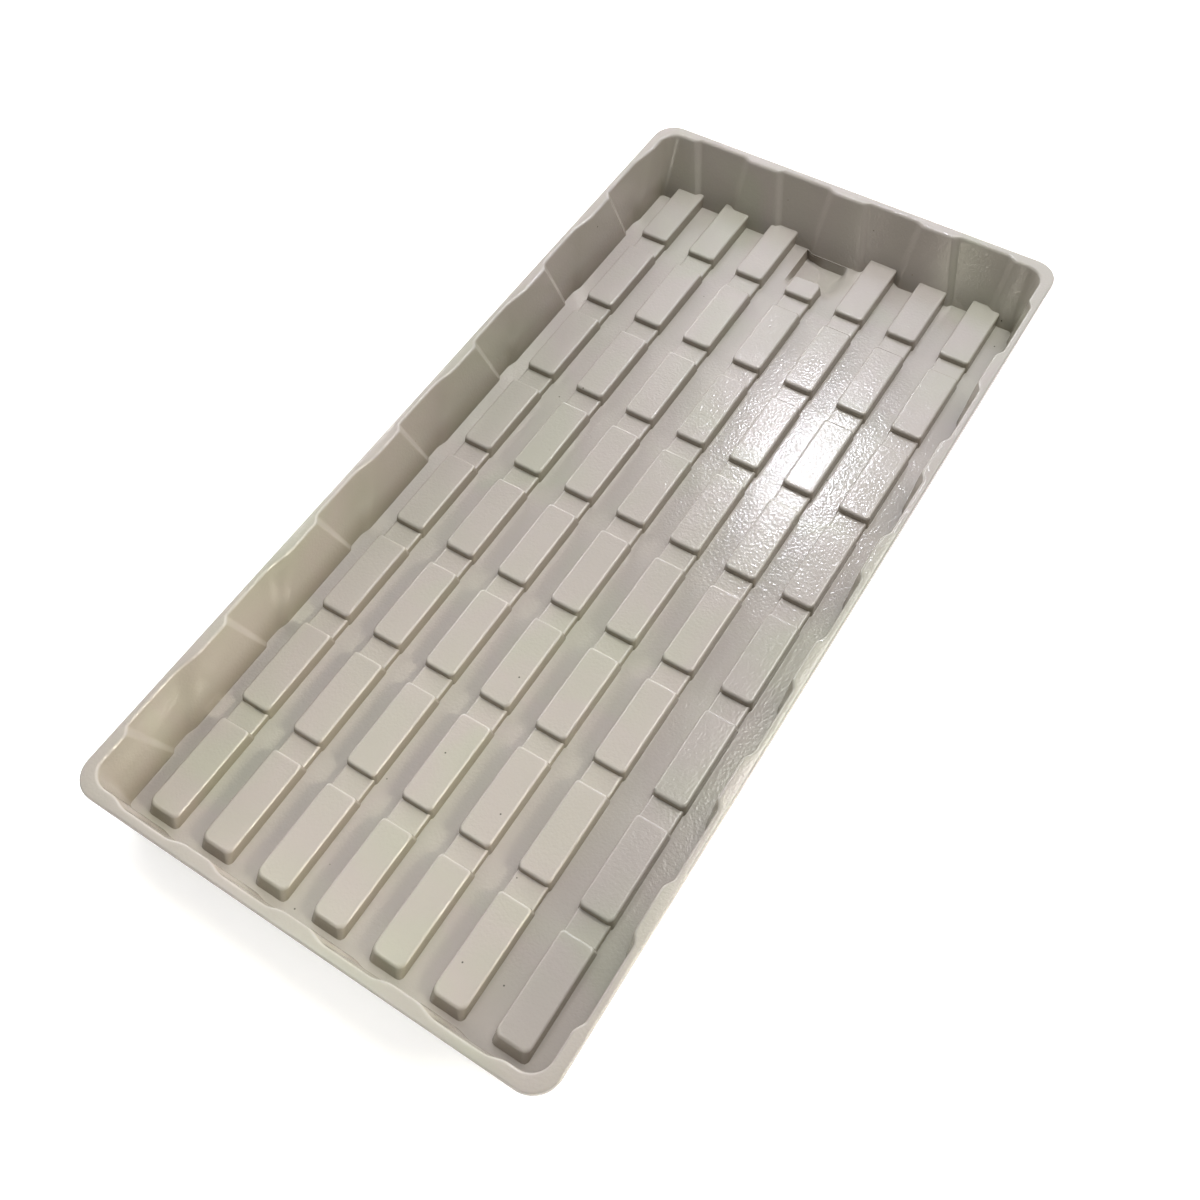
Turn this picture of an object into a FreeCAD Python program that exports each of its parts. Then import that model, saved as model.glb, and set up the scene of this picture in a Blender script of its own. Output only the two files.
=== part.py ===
"""Rigid thermoformed drainage tray: seven rows of raised blocks, corrugated walls, a flanged rim and a sump.

Frame: +X across the tray, +Y along it towards the sump, +Z up. The origin is on the ground below the
middle of the rim, so z = 0 is the underside of the sump. All sizes are in millimetres.
"""
import FreeCAD, Part
import math
import os

# Driving dimensions ------------------------------------------------------------------------------
TRAY_LENGTH = 606.0
TRAY_WIDTH = 300.0
SHEET = 1.5                  # wall thickness of the formed sheet
SUMP_DEPTH = 6.0             # sump floor below the channel floor
RIM_HEIGHT = 40.5            # top of the rim above the channel floor

RIB_COUNT = 7
RIB_PITCH = 38.3
BLOCK_COUNT = 8
BLOCK_PITCH = 72.6
BLOCK_LENGTH = 61.0          # at the channel floor
BLOCK_WIDTH = 21.6           # at the channel floor
BLOCK_HEIGHT = 8.0
BLOCK_CORNER = 3.0           # plan radius of a block's corners
BLOCK_EDGE = 2.0             # rounding of a block's top edges
FIRST_BLOCK_Y = -252.0       # middle of the first block
NEAR_BLOCK_EXTRA = 5.0       # the first block of each rib starts this much nearer the end wall
STUB_LENGTH = 20.0           # last block of the middle rib, cut short by the sump
SADDLE_HEIGHT = 4.2
SADDLE_WIDTH = 20.0
SIDE_DRAFT = math.radians(4.5)
END_DRAFT = math.radians(12.0)
FIRST_BLOCK_DRAFT = math.radians(26.0)   # of the near end of each rib's first block

RIM_CORNER = 16.0
LIP_DROP = 4.0               # turned-down edge, measured from the top of the rim

# Inner faces of the walls: distance from the middle of the tray, set back and set out
LONG_WALL_TOP = (142.4, 145.8)
LONG_WALL_BASE = (137.2, 139.2)
SHORT_WALL_TOP = (294.8, 297.6)
NEAR_WALL_BASE = (290.4, 291.8)
FAR_WALL_BASE = (275.6, 278.4)
TOP_CORNER = 12.0
BASE_CORNER = 3.0

# Corrugation: middle of each set-out panel, then where its two edges lie from that middle
LONG_PANELS = [80.0 * i for i in range(-3, 4)]
LONG_EDGES_TOP = (-24.0, 24.0)
LONG_EDGES_BASE = (-12.5, 2.0)
SHORT_PANELS = [-99.0, -33.0, 33.0, 99.0]
SHORT_EDGES_TOP = (-20.0, 20.0)
SHORT_EDGES_BASE = (-8.0, 18.0)
HALF_JOG_TOP = 3.0
HALF_JOG_BASE = 2.0

SUMP_HALF_WIDTH = 16.7
RAMP_START = 243.0
RAMP_END = 257.0
SUMP_FAR_INSET = 1.8         # how far the sump's far side leans in below the end wall

# Levels ------------------------------------------------------------------------------------------
SUMP_TOP = SHEET
FLOOR_UNDER = SUMP_DEPTH
FLOOR_TOP = FLOOR_UNDER + SHEET
RIM_TOP = FLOOR_TOP + RIM_HEIGHT
RIM_UNDER = RIM_TOP - SHEET
HALF_WIDTH = TRAY_WIDTH / 2
HALF_LENGTH = TRAY_LENGTH / 2
REACH = 400.0                # longer than anything it has to cut

MIDDLE_RIB = RIB_COUNT // 2


def vector(point, z):
    return FreeCAD.Vector(point[0], point[1], z)


def polygon_solid(points, bottom, top):
    """Upright prism over a closed outline of (x, y) points."""
    corners = [vector(p, bottom) for p in points]
    face = Part.Face(Part.makePolygon(corners + corners[:1]))
    return face.extrude(FreeCAD.Vector(0, 0, top - bottom))


def box(x_range, y_range, z_range):
    size = [high - low for low, high in (x_range, y_range, z_range)]
    return Part.makeBox(*size, FreeCAD.Vector(x_range[0], y_range[0], z_range[0]))


def fuse_all(solids):
    return solids[0].fuse(solids[1:]).removeSplitter() if len(solids) > 1 else solids[0]


def save(name, shape):
    """Write the solids of a shape as one named sub-part."""
    solids = shape.Solids
    result = solids[0] if len(solids) == 1 else Part.makeCompound(solids)
    result.exportStep("parts/" + name + ".step")
    print(name, len(solids), "solid(s)", round(result.Volume / 1000, 2), "cm3", result.isValid())


# Outline of the inside of the walls --------------------------------------------------------------
def waved_run(panels, edges, half_jog, inner, outer):
    """(along, out) points of one wall's inner face, with its panels set out between slanted jogs."""
    points = []
    for middle in panels:
        start, end = middle + edges[0], middle + edges[1]
        points += [(start - half_jog, inner), (start + half_jog, outer),
                   (end - half_jog, outer), (end + half_jog, inner)]
    return points


def wall_run(side, level, offset=0.0):
    """Inner face of one wall at the top or the base, as (x, y) points; offset moves it outwards."""
    top = level == "top"
    half_jog = HALF_JOG_TOP if top else HALF_JOG_BASE
    corner = TOP_CORNER if top else BASE_CORNER
    long_set = LONG_WALL_TOP if top else LONG_WALL_BASE
    far_set = SHORT_WALL_TOP if top else FAR_WALL_BASE
    near_set = SHORT_WALL_TOP if top else NEAR_WALL_BASE
    if side in ("left", "right"):
        edges = LONG_EDGES_TOP if top or side == "right" else LONG_EDGES_BASE
        run = waved_run(LONG_PANELS, edges, half_jog, *long_set)
        run = [(corner - near_set[0], long_set[0])] + run + [(far_set[0] - corner, long_set[0])]
        sign = -1 if side == "left" else 1
        return [(sign * (out + offset), along) for along, out in run]
    edges = SHORT_EDGES_TOP if top else SHORT_EDGES_BASE
    short_set = near_set if side == "near" else far_set
    run = waved_run(SHORT_PANELS, edges, half_jog, *short_set)
    limit = long_set[0] - corner
    run = [(-limit, short_set[0])] + run + [(limit, short_set[0])]
    sign = -1 if side == "near" else 1
    return [(along, sign * (out + offset)) for along, out in run]


def corner_points(x_side, y_side, level, offset=0.0):
    """Start, middle and end of the rounded corner between a long wall and a short one."""
    long_end = wall_run(x_side, level, offset)[-1 if y_side == "far" else 0]
    short_end = wall_run(y_side, level, offset)[-1 if x_side == "right" else 0]
    centre = (short_end[0], long_end[1])
    radius = abs(long_end[0] - centre[0])
    reach = radius * math.sqrt(0.5)
    x_sign = 1 if x_side == "right" else -1
    y_sign = 1 if y_side == "far" else -1
    middle = (centre[0] + x_sign * reach, centre[1] + y_sign * reach)
    return long_end, middle, short_end


def line_edge(start, end, z):
    return Part.LineSegment(vector(start, z), vector(end, z)).toShape()


def arc_edge(points, z):
    return Part.Arc(*[vector(p, z) for p in points]).toShape()


def inside_wire(level, z, offset=0.0):
    """Closed outline of the walls' inner faces, all the way round."""
    edges = []
    for side, corner, forward in (("right", ("right", "far"), True), ("far", ("left", "far"), False),
                                  ("left", ("left", "near"), False), ("near", ("right", "near"), True)):
        run = wall_run(side, level, offset)
        run = run if forward else run[::-1]
        edges += [line_edge(a, b, z) for a, b in zip(run, run[1:])]
        arc = corner_points(*corner, level, offset)
        arc = arc if side in ("right", "left") else arc[::-1]
        edges.append(arc_edge(arc, z))
    return Part.Wire(Part.__sortEdges__(edges))


def interior_solid():
    """Everything inside the walls, from the underside of the channel floor to the top of the rim."""
    low = inside_wire("base", FLOOR_TOP)
    high = inside_wire("top", RIM_TOP)
    upper = Part.makeLoft([low, high], True, True)
    lower = Part.Face(inside_wire("base", FLOOR_UNDER)).extrude(FreeCAD.Vector(0, 0, SHEET))
    return upper.fuse(lower)


# Walls and rim -----------------------------------------------------------------------------------
def at_level(base, top, z):
    """Points part of the way up the straight lines from base points to top points."""
    share = (z - FLOOR_TOP) / (RIM_TOP - FLOOR_TOP)
    return [(b[0] + share * (t[0] - b[0]), b[1] + share * (t[1] - b[1])) for b, t in zip(base, top)]


def wall_solid(side):
    """One corrugated wall: it stands on the floor sheet and carries the flange."""
    wires = []
    for z in (FLOOR_TOP, RIM_UNDER):
        inner = at_level(wall_run(side, "base"), wall_run(side, "top"), z)
        outer = at_level(wall_run(side, "base", SHEET), wall_run(side, "top", SHEET), z)
        corners = [vector(p, z) for p in inner + outer[::-1]]
        wires.append(Part.makePolygon(corners + corners[:1]))
    return Part.makeLoft(wires, True, True)


def corner_solid(x_side, y_side):
    """The rounded corner between two walls."""
    wires = []
    for z in (FLOOR_TOP, RIM_UNDER):
        inner = at_level(corner_points(x_side, y_side, "base"), corner_points(x_side, y_side, "top"), z)
        outer = at_level(corner_points(x_side, y_side, "base", SHEET),
                         corner_points(x_side, y_side, "top", SHEET), z)
        wires.append(Part.Wire([arc_edge(inner, z), line_edge(inner[2], outer[2], z),
                                arc_edge(outer[::-1], z), line_edge(outer[0], inner[0], z)]))
    return Part.makeLoft(wires, True, True)


def rim_run_solid(side):
    """Flange along one wall, wavy inside and straight outside, with its turned-down lip."""
    run = wall_run(side, "top")
    if side in ("left", "right"):
        edge = -HALF_WIDTH if side == "left" else HALF_WIDTH
        outline = run + [(edge, run[-1][1]), (edge, run[0][1])]
        x_range = sorted((edge, edge - math.copysign(SHEET, edge)))
        lip = box(x_range, (run[0][1], run[-1][1]), (RIM_TOP - LIP_DROP, RIM_UNDER))
    else:
        edge = -HALF_LENGTH if side == "near" else HALF_LENGTH
        outline = run + [(run[-1][0], edge), (run[0][0], edge)]
        y_range = sorted((edge, edge - math.copysign(SHEET, edge)))
        lip = box((run[0][0], run[-1][0]), y_range, (RIM_TOP - LIP_DROP, RIM_UNDER))
    return polygon_solid(outline, RIM_UNDER, RIM_TOP).fuse(lip).removeSplitter()


def rim_band(inset, x_side, y_side, z):
    """Edges of the rim's outer line at one corner, from the long side's cut to the short side's."""
    x_sign = 1 if x_side == "right" else -1
    y_sign = 1 if y_side == "far" else -1
    long_end, _, short_end = corner_points(x_side, y_side, "top")
    radius = RIM_CORNER - inset
    centre = (x_sign * (HALF_WIDTH - RIM_CORNER), y_sign * (HALF_LENGTH - RIM_CORNER))
    side = x_sign * (HALF_WIDTH - inset)
    end = y_sign * (HALF_LENGTH - inset)
    reach = radius * math.sqrt(0.5)
    points = [(side, long_end[1]), (side, centre[1]),
              (centre[0] + x_sign * reach, centre[1] + y_sign * reach),
              (centre[0], end), (short_end[0], end)]
    edges = [line_edge(points[0], points[1], z), arc_edge(points[1:4], z),
             line_edge(points[3], points[4], z)]
    return edges, points[0], points[4]


def rim_corner_solid(x_side, y_side):
    """Rounded corner of the flange and its lip."""
    inner = corner_points(x_side, y_side, "top")
    outer_edges, long_point, short_point = rim_band(0.0, x_side, y_side, RIM_UNDER)
    flange_edges = outer_edges + [line_edge(short_point, inner[2], RIM_UNDER),
                                  arc_edge(inner, RIM_UNDER),
                                  line_edge(inner[0], long_point, RIM_UNDER)]
    flange = Part.Face(Part.Wire(Part.__sortEdges__(flange_edges)))
    flange = flange.extrude(FreeCAD.Vector(0, 0, SHEET))
    bottom = RIM_TOP - LIP_DROP
    outer_edges, long_point, short_point = rim_band(0.0, x_side, y_side, bottom)
    inner_edges, long_inset, short_inset = rim_band(SHEET, x_side, y_side, bottom)
    lip_edges = outer_edges + inner_edges + [line_edge(short_point, short_inset, bottom),
                                             line_edge(long_point, long_inset, bottom)]
    lip = Part.Face(Part.Wire(Part.__sortEdges__(lip_edges)))
    lip = lip.extrude(FreeCAD.Vector(0, 0, LIP_DROP - SHEET))
    return flange.fuse(lip).removeSplitter()


# Ribs --------------------------------------------------------------------------------------------
def rounded_rectangle(x_mid, half_width, y_range, radius, z):
    """Horizontal rounded rectangle as a closed wire."""
    x0, x1 = x_mid - half_width, x_mid + half_width
    y0, y1 = y_range
    k = radius * (1 - math.sqrt(0.5))
    edges = []
    for start, mid, end, following in (
            ((x1 - radius, y0), (x1 - k, y0 + k), (x1, y0 + radius), (x1, y1 - radius)),
            ((x1, y1 - radius), (x1 - k, y1 - k), (x1 - radius, y1), (x0 + radius, y1)),
            ((x0 + radius, y1), (x0 + k, y1 - k), (x0, y1 - radius), (x0, y0 + radius)),
            ((x0, y0 + radius), (x0 + k, y0 + k), (x0 + radius, y0), (x1 - radius, y0))):
        edges += [arc_edge((start, mid, end), z), line_edge(end, following, z)]
    return Part.Wire(edges)


def block_solid(x_mid, y_range, near_draft, wall=0.0):
    """One drafted block standing on the floor; with wall set, the hollow inside it instead."""
    wires = []
    top = FLOOR_TOP + BLOCK_HEIGHT - wall
    for z in (FLOOR_UNDER, top):
        rise = z - FLOOR_TOP
        side = BLOCK_WIDTH / 2 - rise * math.tan(SIDE_DRAFT) - wall
        near = y_range[0] + rise * math.tan(near_draft) + wall
        far = y_range[1] - rise * math.tan(END_DRAFT) - wall
        radius = BLOCK_CORNER - wall / 2
        wires.append(rounded_rectangle(x_mid, side, (near, far), radius, z))
    solid = Part.makeLoft(wires, True, True)
    if wall == 0.0:
        top_edges = [e for e in solid.Edges if abs(e.BoundBox.ZMin - top) < 0.01]
        solid = solid.makeFillet(BLOCK_EDGE, top_edges)
    return solid


def saddle_solid(x_mid, y_range, wall=0.0):
    """Low bar that joins neighbouring blocks; with wall set, the hollow inside it instead."""
    top = FLOOR_TOP + SADDLE_HEIGHT - wall
    section = []
    for z in (FLOOR_UNDER, top):
        half = SADDLE_WIDTH / 2 - (z - FLOOR_TOP) * math.tan(SIDE_DRAFT) - wall
        section.append((half, z))
    (low, z0), (high, z1) = section
    corners = [FreeCAD.Vector(x_mid + x, y_range[0], z)
               for x, z in ((-low, z0), (low, z0), (high, z1), (-high, z1))]
    face = Part.Face(Part.makePolygon(corners + corners[:1]))
    return face.extrude(FreeCAD.Vector(0, y_range[1] - y_range[0], 0))


def block_ranges(rib):
    """Lowest and highest y of each block of a rib, at the channel floor."""
    ranges = []
    for row in range(BLOCK_COUNT):
        middle = FIRST_BLOCK_Y + row * BLOCK_PITCH
        ranges.append([middle - BLOCK_LENGTH / 2, middle + BLOCK_LENGTH / 2])
    ranges[0][0] -= NEAR_BLOCK_EXTRA
    if rib == MIDDLE_RIB:
        ranges[-1][1] = ranges[-1][0] + STUB_LENGTH
    return ranges


def rib_bulk(rib, wall=0.0):
    """Blocks and saddles of one rib as one bulk; with wall set, the hollow under it."""
    x_mid = (rib - MIDDLE_RIB) * RIB_PITCH
    ranges = block_ranges(rib)
    drafts = [FIRST_BLOCK_DRAFT] + [END_DRAFT] * (BLOCK_COUNT - 1)
    solids = [block_solid(x_mid, r, draft, wall) for r, draft in zip(ranges, drafts)]
    inset = BLOCK_LENGTH / 4
    if rib == MIDDLE_RIB:
        inset = STUB_LENGTH / 4
    solids += [saddle_solid(x_mid, (a[1] - inset, b[0] + inset), wall) for a, b in zip(ranges, ranges[1:])]
    return fuse_all(solids)


# Floor and sump ----------------------------------------------------------------------------------
def floor_plate():
    """The whole flat floor sheet, out to the outer faces of the walls."""
    face = Part.Face(inside_wire("base", FLOOR_UNDER, SHEET))
    return face.extrude(FreeCAD.Vector(0, 0, SHEET))


def side_profile_solid(points, x_range):
    """Prism along X over an outline of (y, z) points."""
    corners = [FreeCAD.Vector(x_range[0], y, z) for y, z in points]
    face = Part.Face(Part.makePolygon(corners + corners[:1]))
    return face.extrude(FreeCAD.Vector(x_range[1] - x_range[0], 0, 0))


def sump_solids(middle_bulk):
    """The sump's ramp, floor and three upright sides."""
    far_top = FAR_WALL_BASE[0]
    far_low = far_top - SUMP_FAR_INSET
    half = SUMP_HALF_WIDTH
    outer = half + SHEET
    ramp = side_profile_solid([(RAMP_START, FLOOR_TOP), (RAMP_END, SUMP_TOP), (RAMP_END, 0.0),
                               (RAMP_START, FLOOR_UNDER)], (-half, half))
    side = [(RAMP_START, FLOOR_TOP), (far_top, FLOOR_TOP), (far_low, 0.0),
            (RAMP_END, 0.0), (RAMP_START, FLOOR_UNDER)]
    far = [(far_top, FLOOR_TOP), (far_top + SHEET, FLOOR_TOP), (far_low + SHEET, 0.0), (far_low, 0.0)]
    return {
        "sump_ramp": ramp.cut(middle_bulk),
        "sump_floor": box((-half, half), (RAMP_END, far_low), (0.0, SUMP_TOP)),
        "sump_left_side": side_profile_solid(side, (-outer, -half)),
        "sump_right_side": side_profile_solid(side, (half, outer)),
        "sump_far_side": side_profile_solid(far, (-outer, outer)),
    }


def main():
    os.makedirs("parts", exist_ok=True)
    interior = interior_solid()
    bulks = [rib_bulk(rib).common(interior) for rib in range(RIB_COUNT)]
    for rib, bulk in enumerate(bulks):
        save("rib_%d" % (rib + 1), bulk.cut(rib_bulk(rib, SHEET)))

    sump_outer = SUMP_HALF_WIDTH + SHEET
    far_edge = FAR_WALL_BASE[0] + SHEET
    opening = box((-sump_outer, sump_outer), (RAMP_START, far_edge), (0.0, FLOOR_TOP))
    plate = floor_plate().cut(bulks + [opening])
    rib_x = [(rib - MIDDLE_RIB) * RIB_PITCH for rib in range(RIB_COUNT)]
    strips_start = block_ranges(0)[0][0]
    level = (0.0, FLOOR_TOP)
    for index, (x0, x1) in enumerate(zip(rib_x, rib_x[1:])):
        cutter = box((x0, x1), (strips_start, REACH), level)
        save("channel_%d" % (index + 1), plate.common(cutter))
    save("floor_left", plate.common(box((-REACH, rib_x[0]), (strips_start, REACH), level)))
    save("floor_right", plate.common(box((rib_x[-1], REACH), (strips_start, REACH), level)))
    save("floor_near", plate.common(box((-REACH, REACH), (-REACH, strips_start), level)))
    for name, solid in sump_solids(bulks[MIDDLE_RIB]).items():
        save(name, solid)

    for side in ("left", "right", "near", "far"):
        save("wall_" + side, wall_solid(side))
        save("rim_" + side, rim_run_solid(side))
    for y_side in ("near", "far"):
        for x_side in ("left", "right"):
            place = y_side + "_" + x_side
            save("wall_corner_" + place, corner_solid(x_side, y_side))
            save("rim_corner_" + place, rim_corner_solid(x_side, y_side))


main()
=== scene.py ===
import math

import bmesh
import bpy
from mathutils import Matrix, Vector


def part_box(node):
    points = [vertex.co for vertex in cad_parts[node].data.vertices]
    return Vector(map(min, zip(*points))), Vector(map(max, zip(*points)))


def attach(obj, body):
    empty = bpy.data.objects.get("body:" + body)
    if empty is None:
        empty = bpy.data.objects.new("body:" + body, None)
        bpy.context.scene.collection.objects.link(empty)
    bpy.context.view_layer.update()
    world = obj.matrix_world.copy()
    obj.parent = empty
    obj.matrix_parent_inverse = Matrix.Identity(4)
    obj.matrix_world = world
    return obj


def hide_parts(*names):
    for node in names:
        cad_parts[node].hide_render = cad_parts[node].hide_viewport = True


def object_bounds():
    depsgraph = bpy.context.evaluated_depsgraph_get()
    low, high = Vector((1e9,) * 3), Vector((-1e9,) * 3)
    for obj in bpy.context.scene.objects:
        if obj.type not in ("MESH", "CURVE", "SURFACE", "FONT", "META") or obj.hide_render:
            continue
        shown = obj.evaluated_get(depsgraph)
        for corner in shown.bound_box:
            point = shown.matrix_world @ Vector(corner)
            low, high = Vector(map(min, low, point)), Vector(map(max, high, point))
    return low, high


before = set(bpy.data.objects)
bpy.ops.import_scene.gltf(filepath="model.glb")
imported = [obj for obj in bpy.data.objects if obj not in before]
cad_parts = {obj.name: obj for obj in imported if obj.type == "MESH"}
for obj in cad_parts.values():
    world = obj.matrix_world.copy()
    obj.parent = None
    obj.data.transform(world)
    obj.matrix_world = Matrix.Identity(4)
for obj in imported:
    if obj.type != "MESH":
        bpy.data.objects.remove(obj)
cad_box = [list(corner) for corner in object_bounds()]

# The tray's sizes are in millimetres, and mesh_from() turns them into metres. Lamps and the camera are
# placed in metres.
MM = 0.001
RIBS = 7


def node_box(node):
    """Lowest and highest corner of a CAD node, in millimetres."""
    return tuple(tuple(value / MM for value in corner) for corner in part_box(node))


CHANNEL_LOW, CHANNEL_HIGH = node_box("channel_1")
FLOOR = CHANNEL_HIGH[2]
UNDER = CHANNEL_LOW[2]
SHEET = FLOOR - UNDER
HALF_WIDTH = cad_box[1][0] / MM
HALF_LENGTH = cad_box[1][1] / MM
RIM = cad_box[1][2] / MM
RIB_X = [sum(corner[0] for corner in node_box("rib_%d" % (i + 1))) / 2
         for i in range(RIBS)]
BLOCK_TOP = node_box("rib_1")[1][2]
LIP_BOTTOM = node_box("rim_left")[0][2]

# Walls: distance of the inner face from the middle, set back and set out
LONG_TOP = (142.4, 145.8)
LONG_BASE = (137.2, 139.2)
SHORT_TOP = (294.8, 297.6)
NEAR_BASE = (290.4, 291.8)
FAR_BASE = (275.6, 278.4)
TOP_CORNER = 12.0
BASE_CORNER = 3.0
RIM_CORNER = 16.0
LONG_PANELS = [80.0 * i for i in range(-3, 4)]
LONG_EDGES_TOP = (-24.0, 24.0)
LONG_EDGES_BASE = (-12.5, 2.0)
SHORT_PANELS = [-99.0, -33.0, 33.0, 99.0]
SHORT_EDGES_TOP = (-20.0, 20.0)
SHORT_EDGES_BASE = (-8.0, 18.0)
RIGHT_JOGS = ((4.0, 4.0), (4.0, 4.0))
LEFT_JOGS = ((3.0, 2.0), (12.0, 5.0))      # half lengths at the top and base, low side and high side
FAR_JOGS = ((3.0, 2.0), (4.0, 3.0))
NEAR_JOGS = ((6.5, 5.0), (6.5, 5.0))
JOG_STEPS = 8
CORNER_STEPS = 14
CUT_SHARE = 0.6              # where a wall is divided from its corner, along the flat between them
WALL_LEVELS = [0.0, 4.0, 10.0, 16.0, 22.0, 28.0, 33.0]   # above the floor
CUT_BELOW_RIM = 3.0          # where a wall is divided from the rim
FILLET_REACH = 1.8           # rounding between the wall and the flange
EDGE_ROUNDING = 1.2          # of the flange's outer edge, and where its underside meets the wall
LIP_SHARE = 0.85             # thickness of the turned-down edge, as a share of the sheet
LIP_ROUNDING = 0.3
TINY = 0.02                  # lift of the feet of walls and blocks, so that no faces coincide

# Ribs
BLOCKS = 8
BLOCK_PITCH = 72.6
BLOCK_LENGTH = 61.0
BLOCK_HALF = 10.8
FIRST_BLOCK_Y = -252.0
NEAR_BLOCK_EXTRA = 5.0
STUB_LENGTH = 20.0
NEAR_WIDENING = 0.5          # how much rounder a block's near corners are at the top than at the foot
BLOCK_CORNER = 2.4
END_CORNER = 3.2             # of the first blocks' near ends and the short block's far end
BLOCK_ROUNDING = 1.6
BLOCK_ROUNDING_STEPS = 6
BLOCK_CORNER_STEPS = 5
BLOCK_TIGHTENING = 0.6       # how much less the hollow's top edge is rounded, per millimetre of sheet
CORNER_TIGHTENING = 0.9      # how fast a block's corners close in over its rounded top edge
LEAST_CORNER = 0.25
SADDLE_HALF = 10.0
SADDLE_HEIGHT = 4.2
SADDLE_ROUNDING = 1.5
SADDLE_ROUNDING_STEPS = 5
SADDLE_TIGHTENING = 0.8
SADDLE_OVERLAPS = (5.0, 6.0)     # how far a saddle and its hollow run into the blocks at their ends
SIDE_DRAFT = math.tan(math.radians(4.5))
END_DRAFT = math.tan(math.radians(12.0))
FIRST_BLOCK_DRAFT = math.tan(math.radians(26.0))
STRIP_EDGE = 9.75            # a floor strip ends inside the thickness of the rib's side
HOLLOW_FOOT = -4.0           # where a rib's hollow starts, from the channel floor
FAR_CUT_HALF = 25.0          # half width of the cutter that ends a rib at the far wall
FAR_CUT_COLUMNS = 20.0       # how far to each side it follows the wall
FAR_CUT_Y = 330.0            # how far out it reaches
FAR_CUT_BELOW = 6.0          # and how far below the sheet
NEAR_STRIP_Y = -287.0        # where the floor strips end and the near floor begins
MIDDLE_RIB = 3

# Sump
PAN_START = 236.0            # where its piece begins
PAN_HALF = 28.2              # half width of its piece, which ends inside the ribs' sides
PAN_HOLE_END = 244.5         # its piece is open under the short block up to here
PAN_X = [-PAN_HALF, -23.0, -19.0, -17.6, -15.7, -13.0, -11.0, -STRIP_EDGE, -6.0, -3.0, 0.0, 3.0, 6.0,
         STRIP_EDGE, 10.6, 11.4, 12.2, 13.0, 13.8, 14.6, 15.4, 16.2, 17.0, 17.8, 18.6, 19.6, 21.0, 24.0,
         PAN_HALF]           # lines of its mesh, closer together where the right side curves
PAN_Y = [PAN_START + k for k in range(9)] + [PAN_HOLE_END + 1.25 * k for k in range(22)]
RAMP_START = 238.0
RAMP_LENGTH = 19.0
SUMP_DEPTH = UNDER
SUMP_LEFT = -17.6            # top of the left side
SUMP_LEFT_RUN = 1.9          # how far the left side leans in
SUMP_RIGHT = 13.0            # foot of the right side
SUMP_RIGHT_RUN = 3.5
SPREAD_Y = (262.0, 274.0)    # the right side grows gentler from the second to the first
SPREAD_FOOT = 3.5            # how far its foot moves in
SPREAD_RUN = 9.0             # how much longer it gets
FAR_LEDGE = 0.4              # strip left between the sump and the far wall
FAR_LEDGE_EDGE = 0.1         # how far before the wall the strip's last line lies
FAR_STEP = (0.8, 2.8)        # how far the far side leans in, at the left and at the right
FAR_STEP_X = (-11.0, -3.0)   # where that changes


def lerp(a, b, share):
    return a + (b - a) * share


def clamped(share):
    return min(1.0, max(0.0, share))


def ease(share):
    """Smooth step from 0 to 1."""
    share = clamped(share)
    return share * share * (3 - 2 * share)


# Meshes ------------------------------------------------------------------------------------------
CREASE = math.radians(32.0)  # a sharper angle between two faces shows as an edge


def mesh_from(name, verts, faces):
    """Mesh in metres with outward normals."""
    mesh = bpy.data.meshes.new(name)
    mesh.from_pydata([[c * MM for c in v] for v in verts], [], faces)
    work = bmesh.new()
    work.from_mesh(mesh)
    bmesh.ops.recalc_face_normals(work, faces=work.faces)
    work.to_mesh(mesh)
    work.free()
    return mesh


def add_piece(name, mesh, nodes, weighted=False):
    """Shows a mesh in place of CAD nodes."""
    mesh.shade_smooth()
    mesh.set_sharp_from_angle(angle=CREASE)
    piece = bpy.data.objects.new(name, mesh)
    bpy.context.scene.collection.objects.link(piece)
    mesh.materials.clear()
    mesh.materials.append(PLASTIC)
    if weighted:
        piece.modifiers.new("weighted", "WEIGHTED_NORMAL").keep_sharp = True
    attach(piece, "root")
    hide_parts(*nodes)


def lofted(loops):
    """Closed solid through closed loops of equal length, with flat ends."""
    count = len(loops[0])
    verts = [v for loop in loops for v in loop]
    faces = [list(range(count)), [len(verts) - 1 - i for i in range(count)]]
    for k in range(len(loops) - 1):
        for i in range(count):
            j = (i + 1) % count
            faces.append([k * count + i, k * count + j, (k + 1) * count + j, (k + 1) * count + i])
    return verts, faces


def joined(parts):
    """Several (verts, faces) lists as one."""
    verts, faces = [], []
    for part_verts, part_faces in parts:
        start = len(verts)
        verts += part_verts
        faces += [[start + i for i in face] for face in part_faces]
    return verts, faces


def prism(outline, low, high):
    return lofted([[(x, y, z) for x, y in outline] for z in (low, high)])


def subtract(base, cutter):
    """Base without cutter, either of which may be several overlapping solids."""
    objects = []
    for label, (verts, faces) in (("base", base), ("cutter", cutter)):
        obj = bpy.data.objects.new(label, mesh_from(label, verts, faces))
        bpy.context.scene.collection.objects.link(obj)
        objects.append(obj)
    solid, tool = objects
    modifier = solid.modifiers.new("cut", "BOOLEAN")
    modifier.operation = "DIFFERENCE"
    modifier.solver = "EXACT"
    modifier.use_self = True
    modifier.object = tool
    bpy.context.view_layer.update()
    graph = bpy.context.evaluated_depsgraph_get()
    result = bpy.data.meshes.new_from_object(solid.evaluated_get(graph))
    for obj in objects:
        mesh = obj.data
        bpy.data.objects.remove(obj)
        bpy.data.meshes.remove(mesh)
    return result


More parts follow.
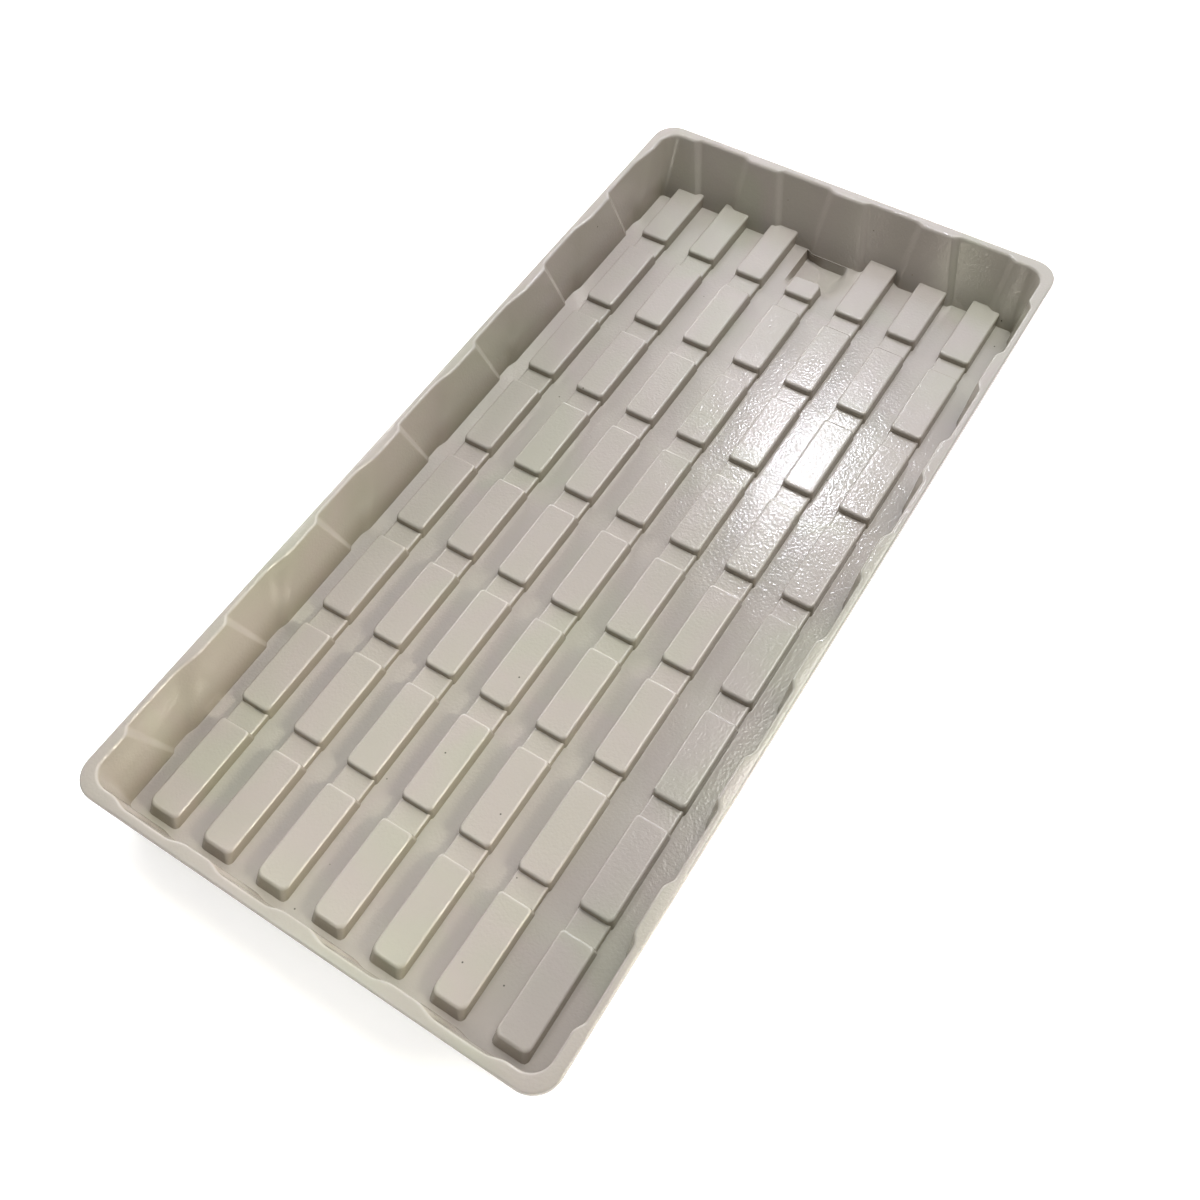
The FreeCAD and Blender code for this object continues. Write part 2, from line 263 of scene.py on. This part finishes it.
# Walls and rim -----------------------------------------------------------------------------------
def waved(panels, edges_top, edges_base, jogs, top, base):
    """(along, out) at the base and (along, out) at the top for every upright line of one wall."""
    lines = []
    for middle in panels:
        for side, (half_top, half_base) in enumerate(jogs):
            for k in range(JOG_STEPS + 1):
                s = 2 * k / JOG_STEPS - 1
                share = 0.5 + 0.5 * math.sin(math.pi * s / 2)
                share = share if side == 0 else 1 - share
                lines.append(((middle + edges_base[side] + s * half_base, lerp(*base, share)),
                              (middle + edges_top[side] + s * half_top, lerp(*top, share))))
    return lines


def with_ends(lines, low_base, high_base, low_top, high_top, base, top):
    """Adds the upright lines where the wall meets its corners, and where it is divided from them."""
    def end_lines(line, end_base, end_top):
        return [((end_base, base[0]), (end_top, top[0])),
                ((lerp(line[0][0], end_base, CUT_SHARE), base[0]),
                 (lerp(line[1][0], end_top, CUT_SHARE), top[0]))]

    return (end_lines(lines[0], low_base, low_top) + lines
            + end_lines(lines[-1], high_base, high_top)[::-1])


def outer_hit(centre, normal):
    """Where a line from a corner's centre meets the rim's outer outline, and the outline's normal there."""
    sx, sy = (math.copysign(1, centre[0]), math.copysign(1, centre[1]))
    cx, cy = abs(centre[0]), abs(centre[1])
    nx, ny = abs(normal[0]), abs(normal[1])
    arc_x, arc_y = HALF_WIDTH - RIM_CORNER, HALF_LENGTH - RIM_CORNER
    if nx > 0 and cy + (HALF_WIDTH - cx) / nx * ny <= arc_y:
        return (sx * HALF_WIDTH, sy * (cy + (HALF_WIDTH - cx) / nx * ny)), (sx, 0.0)
    if ny > 0 and cx + (HALF_LENGTH - cy) / ny * nx <= arc_x:
        return (sx * (cx + (HALF_LENGTH - cy) / ny * nx), sy * HALF_LENGTH), (0.0, sy)
    dx, dy = cx - arc_x, cy - arc_y
    b = dx * nx + dy * ny
    reach = -b + math.sqrt(b * b - dx * dx - dy * dy + RIM_CORNER ** 2)
    hit = (cx + reach * nx, cy + reach * ny)
    out = ((hit[0] - arc_x) / RIM_CORNER, (hit[1] - arc_y) / RIM_CORNER)
    return (sx * hit[0], sy * hit[1]), (sx * out[0], sy * out[1])


def wall_columns():
    """Every upright line round the tray: base, top, outward normal, rim edge and the edge's normal.

    Also returns, for each side and corner, the range of lines that its piece spans.
    """
    left_lines, right_lines = [
        with_ends(waved(LONG_PANELS, LONG_EDGES_TOP, edges_base, jogs, LONG_TOP, LONG_BASE),
                  BASE_CORNER - NEAR_BASE[0], FAR_BASE[0] - BASE_CORNER,
                  TOP_CORNER - SHORT_TOP[0], SHORT_TOP[0] - TOP_CORNER, LONG_BASE, LONG_TOP)
        for edges_base, jogs in ((LONG_EDGES_BASE, LEFT_JOGS), (LONG_EDGES_TOP, RIGHT_JOGS))]
    base_end, top_end = LONG_BASE[0] - BASE_CORNER, LONG_TOP[0] - TOP_CORNER
    far_lines = with_ends(
        waved(SHORT_PANELS, SHORT_EDGES_TOP, SHORT_EDGES_BASE, FAR_JOGS, SHORT_TOP, FAR_BASE),
        -base_end, base_end, -top_end, top_end, FAR_BASE, SHORT_TOP)
    near_lines = with_ends(
        waved(SHORT_PANELS, SHORT_EDGES_TOP, SHORT_EDGES_BASE, NEAR_JOGS, SHORT_TOP, NEAR_BASE),
        -base_end, base_end, -top_end, top_end, NEAR_BASE, SHORT_TOP)
    columns, spans = [], {}

    def add_side(name, lines, upright, sign, forward):
        start = len(columns) + 1
        for (base_along, base_out), (top_along, top_out) in (lines if forward else lines[::-1]):
            base, top = (base_along, sign * base_out), (top_along, sign * top_out)
            edge, normal = (top_along, sign * HALF_LENGTH), (0.0, sign)
            if upright:
                base, top = base[::-1], top[::-1]
                edge, normal = (sign * HALF_WIDTH, top_along), (sign, 0.0)
            columns.append((base, top, normal, edge, normal))
        spans[name] = (start, len(columns) - 2)

    def add_corner(name, quarter, sx, sy):
        start = len(columns) - 2
        near_or_far = FAR_BASE if sy > 0 else NEAR_BASE
        base_mid = (sx * base_end, sy * (near_or_far[0] - BASE_CORNER))
        top_mid = (sx * top_end, sy * (SHORT_TOP[0] - TOP_CORNER))
        for k in range(1, CORNER_STEPS):
            angle = math.pi / 2 * (quarter + k / CORNER_STEPS)
            normal = (math.cos(angle), math.sin(angle))
            base, top = [tuple(m + r * n for m, n in zip(mid, normal))
                         for mid, r in ((base_mid, BASE_CORNER), (top_mid, TOP_CORNER))]
            columns.append((base, top, normal) + outer_hit(top_mid, normal))
        spans[name] = (start, len(columns) + 1)

    add_side("right", right_lines, True, 1, True)
    add_corner("corner_far_right", 0, 1, 1)
    add_side("far", far_lines, False, 1, False)
    add_corner("corner_far_left", 1, -1, 1)
    add_side("left", left_lines, True, -1, False)
    add_corner("corner_near_left", 2, -1, -1)
    add_side("near", near_lines, False, -1, True)
    add_corner("corner_near_right", 3, 1, -1)
    return columns, spans


def along(start, end, z):
    """Point at height z on the line from (x, y) at the floor to (x, y) at the rim."""
    share = (z - FLOOR) / (RIM - FLOOR)
    return Vector((lerp(start[0], end[0], share), lerp(start[1], end[1], share), z))


def bend(start, corner, end, steps):
    """Rounded corner from start to end."""
    points = []
    for k in range(steps + 1):
        s = k / steps
        points.append(start * (1 - s) ** 2 + corner * 2 * s * (1 - s) + end * s * s)
    return points


def wall_loop(column):
    base, top, normal, _, _ = column
    out = Vector((normal[0], normal[1], 0.0)) * SHEET
    levels = [UNDER + TINY] + [FLOOR + z for z in WALL_LEVELS] + [RIM - CUT_BELOW_RIM]
    inner = [along(base, top, z) for z in levels]
    return inner + [p + out for p in inner[::-1]]


def rim_loop(column):
    base, top, normal, edge, edge_normal = column
    out = Vector((normal[0], normal[1], 0.0))
    edge_out = Vector((edge_normal[0], edge_normal[1], 0.0))
    down = (along(base, top, FLOOR) - along(base, top, RIM)).normalized()
    cut = RIM - CUT_BELOW_RIM
    corner = along(base, top, RIM)
    rim_edge = Vector((edge[0], edge[1], RIM))
    lip = Vector((edge[0], edge[1], LIP_BOTTOM))
    inner_lip = edge_out * -SHEET * LIP_SHARE
    lip_up, lip_out = Vector((0.0, 0.0, LIP_ROUNDING)), edge_out * LIP_ROUNDING
    under = Vector((0.0, 0.0, -SHEET))
    loop = [along(base, top, cut)]
    loop += bend(corner + down * FILLET_REACH, corner, corner + out * FILLET_REACH, steps=7)
    loop += bend(rim_edge - edge_out * EDGE_ROUNDING, rim_edge,
                 rim_edge + Vector((0.0, 0.0, -EDGE_ROUNDING)), steps=5)
    loop += [lip + lip_up, lip - lip_out, lip + inner_lip + lip_out, lip + inner_lip + lip_up]
    underside = rim_edge + inner_lip + under
    loop += bend(underside - lip_up, underside, underside - lip_out, steps=2)
    outer = along(base, top, RIM - SHEET) + out * SHEET
    loop += bend(outer + out * EDGE_ROUNDING, outer, outer + down * EDGE_ROUNDING, steps=3)
    loop.append(along(base, top, cut) + out * SHEET)
    return loop


COLUMNS, SPANS = wall_columns()


def span_columns(name):
    first, last = SPANS[name]
    return [COLUMNS[i % len(COLUMNS)] for i in range(first, last + 1)]


# Ribs --------------------------------------------------------------------------------------------
def rounded_loop(x_mid, half, y0, y1, radius, far_radius, z):
    """Rounded rectangle, anticlockwise from the near right corner."""
    points = []
    for sx, sy, start, r in ((1, -1, -90, radius), (1, 1, 0, far_radius),
                             (-1, 1, 90, far_radius), (-1, -1, 180, radius)):
        cx = x_mid + sx * (half - r)
        cy = y0 + r if sy < 0 else y1 - r
        for k in range(BLOCK_CORNER_STEPS + 1):
            angle = math.radians(start + 90 * k / BLOCK_CORNER_STEPS)
            points.append((cx + r * math.cos(angle), cy + r * math.sin(angle), z))
    return points


def ramp_drop(y):
    """How far the ramp at the sump lies below the channel floor."""
    return SUMP_DEPTH * ease((y - RAMP_START) / RAMP_LENGTH)


def block_loops(x_mid, y0, y1, near_radius, far_radius, near_draft, inset=0.0, low=None):
    """Loops of one drafted block from its foot to its top; inset gives the inside of the sheet."""
    height = BLOCK_TOP - FLOOR - inset
    rounding = BLOCK_ROUNDING - inset * BLOCK_TIGHTENING
    loops = []
    stations = [(low if low is not None else TINY - SHEET, 0.0), (0.0, 0.0),
                (height - rounding, 0.0)]
    steps = [k / BLOCK_ROUNDING_STEPS for k in range(1, BLOCK_ROUNDING_STEPS + 1)]
    stations += [(height - rounding * (1 - s) ** 2, s) for s in steps]
    for z, s in stations:
        pull = rounding * s * s
        half = BLOCK_HALF - inset - z * SIDE_DRAFT - pull
        near_end = y0 + inset + z * near_draft + pull
        far_end = y1 - inset - z * END_DRAFT - pull
        widened = near_radius * (1 + NEAR_WIDENING * max(z, 0.0) / height)
        near = max(widened - inset - pull * CORNER_TIGHTENING, LEAST_CORNER)
        far = max(far_radius - inset - pull * CORNER_TIGHTENING, LEAST_CORNER)
        loops.append(rounded_loop(x_mid, half, near_end, far_end, near, far, FLOOR + z))
    if y1 > RAMP_START and y1 - y0 < BLOCK_LENGTH / 2:      # the short block's foot follows the ramp
        loops[0] = [(x, y, z - ramp_drop(y)) for x, y, z in loops[0]]
    return loops


def saddle_loops(x_mid, y0, y1, inset=0.0, low=None):
    """Cross-sections of the low bar between two blocks."""
    height = SADDLE_HEIGHT - inset
    rounding = SADDLE_ROUNDING - inset * SADDLE_TIGHTENING
    foot = low if low is not None else TINY - SHEET
    side = [(SADDLE_HALF - inset - z * SIDE_DRAFT, z) for z in (foot, 0.0, height - rounding)]
    top_half = SADDLE_HALF - inset - height * SIDE_DRAFT
    for k in range(1, SADDLE_ROUNDING_STEPS + 1):
        s = k / SADDLE_ROUNDING_STEPS
        side.append((top_half - rounding * s * s + rounding * (1 - s) ** 2 * SIDE_DRAFT,
                     height - rounding * (1 - s) ** 2))
    section = side + [(-x, z) for x, z in side[::-1]]
    return [[(x_mid + x, y, FLOOR + z) for x, z in section] for y in (y0, y1)]


def rib_spans(rib):
    """Near and far end of each block of a rib."""
    spans = []
    for row in range(BLOCKS):
        middle = FIRST_BLOCK_Y + row * BLOCK_PITCH
        spans.append([middle - BLOCK_LENGTH / 2, middle + BLOCK_LENGTH / 2])
    spans[0][0] -= NEAR_BLOCK_EXTRA
    if rib == MIDDLE_RIB:
        spans[-1][1] = spans[-1][0] + STUB_LENGTH
    return spans


def far_cutter(x_mid):
    """Solid beyond the middle of the far wall's sheet, which a rib is cut back to."""
    columns = [c for c in span_columns("far") if abs(c[0][0] - x_mid) < FAR_CUT_COLUMNS]
    right, left = x_mid + FAR_CUT_HALF, x_mid - FAR_CUT_HALF
    loops = []
    for z in (UNDER - FAR_CUT_BELOW, RIM):
        line = [along(c[0], c[1], z) + Vector((0, SHEET / 2, 0)) for c in columns]
        ends = [Vector((left, line[-1].y, z)), Vector((left, FAR_CUT_Y, z)), Vector((right, FAR_CUT_Y, z))]
        loops.append([tuple(v) for v in [Vector((right, line[0].y, z))] + line + ends])
    return lofted(loops)


def rib_mesh(rib):
    x_mid = RIB_X[rib]
    spans = rib_spans(rib)
    outer, inner = [], []
    for row, (y0, y1) in enumerate(spans):
        near = END_CORNER if row == 0 else BLOCK_CORNER
        far = END_CORNER if rib == MIDDLE_RIB and row == BLOCKS - 1 else BLOCK_CORNER
        draft = FIRST_BLOCK_DRAFT if row == 0 else END_DRAFT
        outer.append(lofted(block_loops(x_mid, y0, y1, near, far, draft)))
        inner.append(lofted(block_loops(x_mid, y0, y1, near, far, draft, SHEET, HOLLOW_FOOT)))
    for (a0, a1), (b0, b1) in zip(spans, spans[1:]):
        solid, hollow = SADDLE_OVERLAPS
        outer.append(lofted(saddle_loops(x_mid, a1 - solid, b0 + solid)))
        inner.append(lofted(saddle_loops(x_mid, a1 - hollow, b0 + hollow, SHEET, HOLLOW_FOOT)))
    return subtract(joined(outer), joined(inner + [far_cutter(x_mid)]))


# Floor and sump ----------------------------------------------------------------------------------
def clipped(outline, axis, limit, keep_above):
    """The part of an outline on one side of a line."""
    result = []
    for a, b in zip(outline, outline[1:] + outline[:1]):
        a_in = (a[axis] >= limit) == keep_above
        b_in = (b[axis] >= limit) == keep_above
        if a_in:
            result.append(a)
        if a_in != b_in:
            share = (limit - a[axis]) / (b[axis] - a[axis])
            result.append((lerp(a[0], b[0], share), lerp(a[1], b[1], share)))
    return result


FLOOR_OUTLINE = [(c[0][0] + c[2][0] * SHEET / 2, c[0][1] + c[2][1] * SHEET / 2) for c in COLUMNS]


def floor_mesh(name, x0, x1, y0, y1):
    """Flat floor inside the walls, between two lines across the tray and two along it."""
    outline = FLOOR_OUTLINE
    for axis, limit, above in ((0, x0, True), (0, x1, False), (1, y0, True), (1, y1, False)):
        outline = clipped(outline, axis, limit, above)
    return mesh_from(name, *prism(outline, UNDER, FLOOR))


def far_path(x, offset):
    """y of the far wall's inner face at the floor, moved outwards by offset."""
    points = sorted((c[0] for c in COLUMNS if c[0][1] > 0 and c[2][1] > 0.5), key=lambda p: p[0])
    for a, b in zip(points, points[1:]):
        if a[0] <= x <= b[0]:
            return lerp(a[1], b[1], (x - a[0]) / max(b[0] - a[0], 1e-9)) + offset
    return points[0][1] + offset


def far_step(x):
    """How far the sump's far side leans in."""
    return lerp(*FAR_STEP, ease((x - FAR_STEP_X[0]) / (FAR_STEP_X[1] - FAR_STEP_X[0])))


def sump_depth(x, y):
    """How far the sheet lies below the channel floor, from 0 to 1."""
    forward = ramp_drop(y) / SUMP_DEPTH
    left = clamped((x - SUMP_LEFT) / SUMP_LEFT_RUN)
    spread = 1.0 - clamped((y - SPREAD_Y[0]) / (SPREAD_Y[1] - SPREAD_Y[0]))
    right = 1.0 - ease((x - (SUMP_RIGHT - SPREAD_FOOT * spread)) / (SUMP_RIGHT_RUN + SPREAD_RUN * spread))
    far = clamped((far_path(x, -FAR_LEDGE) - y) / far_step(x))
    return forward * left * right * far


def sump_mesh():
    """The ramp, the sump and the floor beside them as one sheet, open under the short block."""
    top = {}
    for i, x in enumerate(PAN_X):
        ys = PAN_Y + [far_path(x, offset) for offset in (
            -FAR_LEDGE - far_step(x), -FAR_LEDGE, -FAR_LEDGE_EDGE, SHEET / 2)]
        for j, y in enumerate(ys):
            top[i, j] = Vector((x, y, FLOOR - SUMP_DEPTH * sump_depth(x, y)))
    last = max(j for _, j in top)
    hole_x = (PAN_X.index(-STRIP_EDGE), PAN_X.index(STRIP_EDGE))
    hole_y = PAN_Y.index(PAN_HOLE_END)
    cells = [(i, j) for i in range(len(PAN_X) - 1) for j in range(last)
             if not (hole_x[0] <= i < hole_x[1] and j < hole_y)]
    normals = {}
    for i, j in cells:
        a, b, c, d = [top[k] for k in ((i, j), (i + 1, j), (i + 1, j + 1), (i, j + 1))]
        normal = (c - a).cross(d - b).normalized()
        for key in ((i, j), (i + 1, j), (i + 1, j + 1), (i, j + 1)):
            normals.setdefault(key, []).append(normal)
    index, verts = {}, []
    for key, faces in normals.items():
        normal = sum(faces, Vector()).normalized()
        index[key] = len(verts)
        verts.append(top[key])
        below = top[key] - normal * SHEET
        verts.append(Vector((below.x, below.y, max(below.z, 0.0))))
    faces, edges = [], {}
    for i, j in cells:
        ring = [index[k] for k in ((i, j), (i + 1, j), (i + 1, j + 1), (i, j + 1))]
        faces += [ring, [v + 1 for v in ring[::-1]]]
        for a, b in zip(ring, ring[1:] + ring[:1]):
            if (b, a) in edges:
                edges.pop((b, a))
            else:
                edges[a, b] = True
    faces += [[b, a, a + 1, b + 1] for a, b in edges]
    return mesh_from("sump", [tuple(v) for v in verts], faces)


# Material ----------------------------------------------------------------------------------------
TONES = [(0.32, (0.36, 0.343, 0.305)), (0.48, (0.373, 0.343, 0.318)), (0.66, (0.36, 0.353, 0.302))]
SPECK_COLOUR = (0.05, 0.045, 0.04, 1.0)
SPECK_EDGE = (0.012, 0.03)   # distance from a speck's middle where it starts to fade, and where it is gone
# Painted shade: colours multiplied into steep faces, darkest at their foot and lighter higher up, in place
# of the shade that falls there
PAINTED_SHADE_FOOT = (0.6, 0.56, 0.49)
PAINTED_SHADE_TOP = (1.0, 0.975, 0.93)
PAINTED_SHADE_HEIGHTS = (0.005, 0.026)    # metres above the ground, where the painted shade is darkest and lightest
PAINTED_SHADE_LEAN = (0.65, 0.2)      # the normal's upward part where the painted shade starts, and where it is full
ROUGHNESS = (0.125, 0.175)
GRAIN = (620.0, 0.7, 0.00021)    # scale of the noise, and strength and distance of the bump
WAVES = (38.0, 0.25, 0.001)


def tray_plastic():
    material = bpy.data.materials.new("tray_plastic")
    material.use_nodes = True
    nodes, links = material.node_tree.nodes, material.node_tree.links
    nodes.clear()
    output = nodes.new("ShaderNodeOutputMaterial")
    shader = nodes.new("ShaderNodeBsdfPrincipled")
    links.new(shader.outputs[0], output.inputs[0])
    coordinates = nodes.new("ShaderNodeTexCoord")
    place = coordinates.outputs["Object"]

    def noise(scale, detail, distortion=0.0):
        node = nodes.new("ShaderNodeTexNoise")
        links.new(place, node.inputs["Vector"])
        node.inputs["Scale"].default_value = scale
        node.inputs["Detail"].default_value = detail
        node.inputs["Distortion"].default_value = distortion
        return node.outputs["Fac"]

    def ramp(source, stops):
        node = nodes.new("ShaderNodeValToRGB")
        links.new(source, node.inputs[0])
        elements = node.color_ramp.elements
        while len(elements) < len(stops):
            elements.new(0.5)
        for element, (position, colour) in zip(elements, stops):
            element.position = position
            element.color = (*colour, 1.0)
        return node.outputs[0]

    def upward(vector):
        node = nodes.new("ShaderNodeSeparateXYZ")
        links.new(vector, node.inputs[0])
        return node.outputs["Z"]

    def step(value, start, end):
        """Smooth step of a value, from 0 at the start to 1 at the end."""
        node = nodes.new("ShaderNodeMapRange")
        node.interpolation_type = "SMOOTHSTEP"
        links.new(value, node.inputs["Value"])
        node.inputs["From Min"].default_value = start
        node.inputs["From Max"].default_value = end
        return node.outputs[0]

    def bump(scale, strength, distance):
        node = nodes.new("ShaderNodeBump")
        node.inputs["Strength"].default_value = strength
        node.inputs["Distance"].default_value = distance
        links.new(noise(scale, 1.0), node.inputs["Height"])
        return node

    colour = ramp(noise(11.0, 2.0, 0.6), TONES)
    specks = nodes.new("ShaderNodeTexVoronoi")
    specks.inputs["Scale"].default_value = 45.0
    links.new(place, specks.inputs["Vector"])
    dot = ramp(specks.outputs["Distance"], [(SPECK_EDGE[0], (1.0,) * 3), (SPECK_EDGE[1], (0.0,) * 3)])
    specked = nodes.new("ShaderNodeMixRGB")
    links.new(dot, specked.inputs["Fac"])
    links.new(colour, specked.inputs["Color1"])
    specked.inputs["Color2"].default_value = SPECK_COLOUR
    # Painted shade: steep faces are multiplied darker towards their foot, standing in for the shade that
    # falls in the creases there
    lean = nodes.new("ShaderNodeMath")
    lean.operation = "ABSOLUTE"
    links.new(upward(coordinates.outputs["Normal"]), lean.inputs[0])
    painted_shade = ramp(step(upward(place), *PAINTED_SHADE_HEIGHTS), [(0.0, PAINTED_SHADE_FOOT), (1.0, PAINTED_SHADE_TOP)])
    painted_shade_mix = nodes.new("ShaderNodeMixRGB")
    painted_shade_mix.blend_type = "MULTIPLY"
    links.new(step(lean.outputs[0], *PAINTED_SHADE_LEAN), painted_shade_mix.inputs["Fac"])
    links.new(specked.outputs[0], painted_shade_mix.inputs["Color1"])
    links.new(painted_shade, painted_shade_mix.inputs["Color2"])
    links.new(painted_shade_mix.outputs[0], shader.inputs["Base Color"])
    rough = ramp(noise(160.0, 3.0), [(0.3, (ROUGHNESS[0],) * 3), (0.7, (ROUGHNESS[1],) * 3)])
    links.new(rough, shader.inputs["Roughness"])
    grain, waves = bump(*GRAIN), bump(*WAVES)
    links.new(waves.outputs[0], grain.inputs["Normal"])
    links.new(grain.outputs[0], shader.inputs["Normal"])
    shader.inputs["IOR"].default_value = 1.5
    return material


PLASTIC = tray_plastic()

# Pieces ------------------------------------------------------------------------------------------
for name in SPANS:
    columns = span_columns(name)
    wall = lofted([[tuple(v) for v in wall_loop(c)] for c in columns])
    add_piece("tray_wall_" + name, mesh_from("wall_" + name, *wall), ["wall_" + name])
    rim = lofted([[tuple(v) for v in rim_loop(c)] for c in columns])
    add_piece("tray_rim_" + name, mesh_from("rim_" + name, *rim), ["rim_" + name])

for rib in range(RIBS):
    add_piece("tray_rib_%d" % (rib + 1), rib_mesh(rib), ["rib_%d" % (rib + 1)], weighted=True)

REACH = 400.0                # beyond every outline
for i, (x0, x1) in enumerate(zip(RIB_X, RIB_X[1:])):
    end = PAN_START if i in (MIDDLE_RIB - 1, MIDDLE_RIB) else REACH
    mesh = floor_mesh("channel", x0 + STRIP_EDGE, x1 - STRIP_EDGE, NEAR_STRIP_Y, end)
    add_piece("tray_channel_%d" % (i + 1), mesh, ["channel_%d" % (i + 1)])
for name, x0, x1, y0, y1 in (
        ("floor_left", -REACH, RIB_X[0] - STRIP_EDGE, NEAR_STRIP_Y, REACH),
        ("floor_right", RIB_X[-1] + STRIP_EDGE, REACH, NEAR_STRIP_Y, REACH),
        ("floor_near", -REACH, REACH, -REACH, NEAR_STRIP_Y)):
    add_piece("tray_" + name, floor_mesh(name, x0, x1, y0, y1), [name])
add_piece("tray_sump", sump_mesh(), ["sump_floor", "sump_left_side", "sump_right_side",
                                      "sump_far_side", "sump_ramp"])

# Stage -------------------------------------------------------------------------------------------
floor_material = bpy.data.materials.new("stage_floor")
floor_material.use_nodes = True
floor_shader = floor_material.node_tree.nodes["Principled BSDF"]
floor_shader.inputs["Base Color"].default_value = (0.95, 0.95, 0.95, 1.0)
floor_shader.inputs["Roughness"].default_value = 0.9
floor_shader.inputs["Emission Color"].default_value = (1.0, 1.0, 1.0, 1.0)
floor_shader.inputs["Emission Strength"].default_value = 0.55
half_stage = 6.0             # metres
stage_mesh = bpy.data.meshes.new("stage_floor")
stage_mesh.from_pydata([(-half_stage, -half_stage, 0), (half_stage, -half_stage, 0),
                        (half_stage, half_stage, 0), (-half_stage, half_stage, 0)], [], [[0, 1, 2, 3]])
stage_mesh.materials.append(floor_material)
stage_floor = bpy.data.objects.new("stage_floor", stage_mesh)
bpy.context.scene.collection.objects.link(stage_floor)


def aim(obj, location, target, roll=0.0):
    """Places a lamp or camera and points it at its target."""
    back = (Vector(location) - Vector(target)).normalized()
    right = Vector((0, 0, 1)).cross(back).normalized()
    up = back.cross(right)
    turn = Matrix((right, up, back)).transposed() @ Matrix.Rotation(roll, 3, "Z")
    obj.matrix_world = Matrix.Translation(location) @ turn.to_4x4()


def area_light(name, location, target, size, power, colour, spread=180):
    data = bpy.data.lights.new(name, "AREA")
    data.shape = "RECTANGLE"
    data.size, data.size_y = size
    data.energy = power
    data.color = colour
    data.spread = math.radians(spread)
    lamp = bpy.data.objects.new(name, data)
    bpy.context.scene.collection.objects.link(lamp)
    aim(lamp, location, target)


area_light("overhead", (0.38, 0.75, 1.75), (0.05, 0.0, 0.0), (0.9, 0.9), 25.5, (1.0, 0.97, 0.925))
area_light("left_key", (-1.6, 0.8, 1.4), (0.0, 0.0, 0.0), (0.5, 0.5), 8.0, (1.0, 0.985, 0.96))
area_light("near_top", (0.05, -0.75, 1.6), (0.03, -0.32, 0.0), (0.2, 0.2), 0.014, (1.0, 0.97, 0.93), 14)
area_light("right_top", (-0.5, -0.6, 1.6), (0.15, -0.2, 0.0), (0.3, 0.3), 0.036, (1.0, 0.975, 0.95), 16)
area_light("far_top", (0.25, 1.0, 1.7), (-0.14, 0.2, 0.0), (0.2, 0.2), 0.06, (1.0, 0.97, 0.95), 18)
area_light("back_panel", (0.0, 1.6, 1.3), (0.0, 0.0, 0.0), (1.8, 0.8), 8.0, (0.86, 0.87, 1.0))
area_light("back_low", (-0.5, 1.6, 0.5), (0.0, 0.1, 0.0), (2.0, 0.18), 13.0, (0.94, 0.95, 1.0))
area_light("left_low", (-1.3, 0.6, 0.55), (0.0, 0.0, 0.0), (1.8, 0.15), 10.0, (0.97, 0.97, 1.0))
area_light("right_low", (1.3, 0.35, 0.5), (-0.14, 0.15, 0.03), (0.5, 0.3), 1.2, (1.0, 0.97, 0.9))
area_light("front_low", (0.15, -1.9, 0.115), (0.05, 0.28, 0.035), (0.8, 0.06), 5.0, (1.0, 0.94, 0.82))
area_light("front_edge", (-0.65, -0.4, 1.7), (0.0, 0.0, 0.0), (0.5, 0.5), 2.0, (1.0, 0.98, 0.95))
area_light("hot_spot", (-0.22, 0.86, 1.05), (0.05, 0.05, 0.0), (0.08, 0.08), 2.6, (0.9, 0.92, 1.0))
area_light("side_fill", (0.9, -0.05, 0.65), (-0.15, -0.24, 0.02), (0.3, 0.3), 0.36, (1.0, 0.95, 0.78), 28)
area_light("far_fill", (0.05, -1.45, 0.4), (0.1, 0.29, 0.04), (0.4, 0.2), 0.011, (1.0, 0.92, 0.78), 16)

world = bpy.data.worlds.new("studio")
bpy.context.scene.world = world
world.use_nodes = True
world.node_tree.nodes["Background"].inputs["Color"].default_value = (1.0, 1.0, 1.0, 1.0)
world.node_tree.nodes["Background"].inputs["Strength"].default_value = 0.15

camera_data = bpy.data.cameras.new("camera")
camera_data.sensor_width = 36.0
camera_data.lens = 37.703
camera_place = (0.24747, -0.36092, 0.63473 + FLOOR * MM)
camera_target = (0.01343, -0.04498, FLOOR * MM)
camera_roll = math.radians(-4.669)
camera = bpy.data.objects.new("camera", camera_data)
bpy.context.scene.collection.objects.link(camera)
aim(camera, camera_place, camera_target, camera_roll)
bpy.context.scene.camera = camera
bpy.context.scene.view_settings.view_transform = "Standard"
